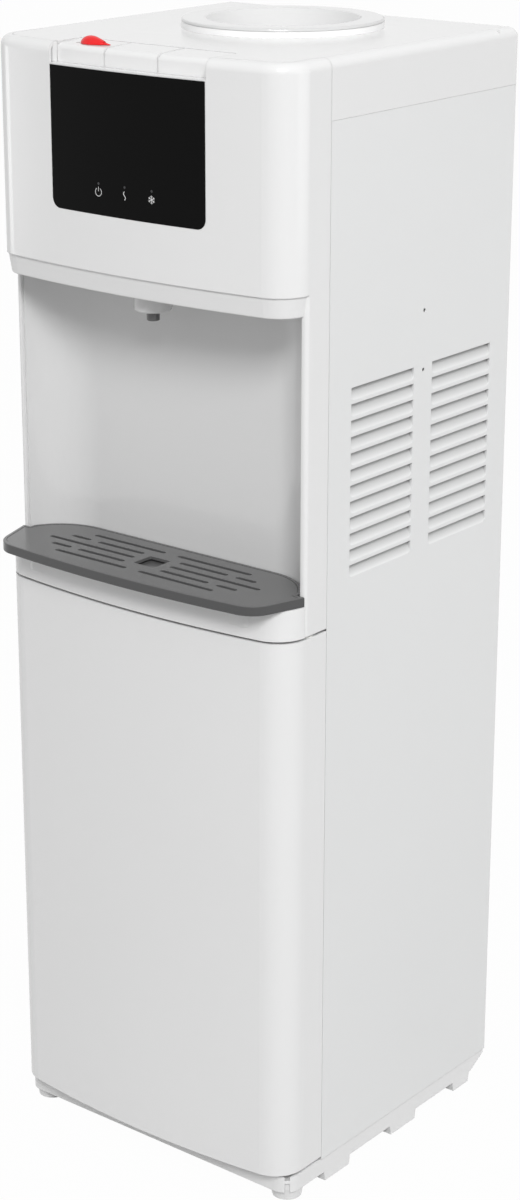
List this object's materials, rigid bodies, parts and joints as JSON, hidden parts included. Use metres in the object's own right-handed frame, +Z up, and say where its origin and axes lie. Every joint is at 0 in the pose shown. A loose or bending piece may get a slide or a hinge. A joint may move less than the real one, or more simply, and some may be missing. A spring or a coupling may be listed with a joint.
{
  "type": "top-load water cooler",
  "caption": "Floor-standing water cooler: bottle seat on top, three keys with a slide lock, nozzle over a drip tray in a rounded recess, louvred sides and a storage cabinet with a hinged door.",
  "frame": {"origin": "on the floor, under the middle of the whole cooler's bounding box", "axes": "+Z up, front towards -Y, +X to the right of a person who faces the front"},
  "size_m": [0.31, 0.3432, 0.9857],
  "materials": {
    "white_moulding": "satin white moulding",
    "white_steel": "white powder coat",
    "recess_grey": "off-white moulding",
    "panel_black": "gloss black",
    "tray_grey": "glossy dark grey",
    "key_white": "white keys",
    "lock_red": "gloss red",
    "lamp_clear": "clear light guide",
    "stainless": "satin stainless",
    "zinc_steel": "zinc-plated",
    "copper": "drawn copper",
    "black_steel": "black enamel",
    "foam_white": "expanded polystyrene",
    "hose_clear": "silicone hose",
    "black_rubber": "black rubber",
    "board_green": "printed board",
    "black_plastic": "black moulding",
    "rocker_red": "red rocker",
    "rocker_green": "green rocker",
    "spring_steel": "spring steel",
    "acetal": "natural acetal"
  },
  "bodies": {
    "cabinet": {"back_panel": "white_steel", "base_pan": "white_moulding", "bottle_seat": "white_moulding", "bottom_hinge_bracket": "zinc_steel", "button_carrier": "acetal", "cold_button_spring": "spring_steel", "cold_hose": "hose_clear", "cold_tank": "stainless", "cold_tank_foam": "foam_white", "compressor": "black_steel", "compressor_grommets": "black_rubber", "condenser": "black_steel", "condenser_clips": "black_plastic", "control_board": "board_green", "control_panel": "panel_black", "cord_gland": "black_rubber", "drain_hose": "hose_clear", "drain_spigot": "white_moulding", "evaporator_coil": "copper", "feed_probe": "white_moulding", "filter_drier": "copper", "front_fascia": "white_moulding", "heater_band": "zinc_steel", "hot_button_spring": "spring_steel", "hot_hose": "hose_clear", "hot_tank": "stainless", "hot_tank_jacket": "foam_white", "indicator_lights": "lamp_clear", "niche_liner": "recess_grey", "outlet_nozzle": "tray_grey", "rear_screws": "zinc_steel", "refrigerant_pipes": "copper", "room_button_spring": "spring_steel", "room_hose": "hose_clear", "side_panel_left": "white_steel", "side_panel_right": "white_steel", "solenoid_valves": "black_plastic", "storage_liner": "white_moulding", "storage_shelf": "white_moulding", "switch_board": "board_green", "switch_housing": "black_plastic", "tank_frame": "zinc_steel", "terminal_cover": "black_plastic", "top_cover": "white_moulding", "top_hinge_bracket": "zinc_steel", "tray_deck": "white_moulding", "valve_manifold": "acetal"},
    "door": {"door_outer": "white_moulding", "door_liner": "white_moulding", "door_bushes": "acetal", "door_magnet": "black_rubber"},
    "hot_key": {"hot_button": "key_white"},
    "room_key": {"room_button": "key_white"},
    "cold_key": {"cold_button": "key_white"},
    "lock": {"child_lock": "lock_red"},
    "tray": {"drip_tray": "tray_grey"},
    "grille": {"drip_grille": "tray_grey"},
    "heat_switch": {"heat_rocker": "rocker_red"},
    "cool_switch": {"cool_rocker": "rocker_green"},
    "drain": {"drain_cap": "white_moulding"}
  },
  "joints": [
    {"name": "door_hinge", "type": "hinge", "parent": "cabinet", "child": "door", "pos_m": [0.147, -0.1064, 0.27], "axis": [0, 0, 1], "range_deg": [0, 110]},
    {"name": "hot_press", "type": "slide", "parent": "cabinet", "child": "hot_key", "axis": [0, 0, -1], "range_m": [0, 0.003], "stiffness_N_per_m": 350, "springref_m": -0.002, "deforming": ["hot_button_spring"]},
    {"name": "room_press", "type": "slide", "parent": "cabinet", "child": "room_key", "axis": [0, 0, -1], "range_m": [0, 0.003], "stiffness_N_per_m": 350, "springref_m": -0.002, "deforming": ["room_button_spring"]},
    {"name": "cold_press", "type": "slide", "parent": "cabinet", "child": "cold_key", "axis": [0, 0, -1], "range_m": [0, 0.003], "stiffness_N_per_m": 350, "springref_m": -0.002, "deforming": ["cold_button_spring"]},
    {"name": "lock_slide", "type": "slide", "parent": "hot_key", "child": "lock", "axis": [-1, 0, 0], "range_m": [0, 0.005]},
    {"name": "tray_lift", "type": "slide", "parent": "cabinet", "child": "tray", "axis": [0, 0, 1], "range_m": [0, 0.06]},
    {"name": "grille_lift", "type": "slide", "parent": "tray", "child": "grille", "axis": [0, 0, 1], "range_m": [0, 0.04]},
    {"name": "heat_switch_tilt", "type": "hinge", "parent": "cabinet", "child": "heat_switch", "pos_m": [0.062, 0.146, 0.692], "axis": [1, 0, 0], "range_deg": [0, 12]},
    {"name": "cool_switch_tilt", "type": "hinge", "parent": "cabinet", "child": "cool_switch", "pos_m": [0.098, 0.146, 0.692], "axis": [1, 0, 0], "range_deg": [0, 12]},
    {"name": "cap_pull", "type": "slide", "parent": "cabinet", "child": "drain", "axis": [0, 1, 0], "range_m": [0, 0.022]}
  ]
}
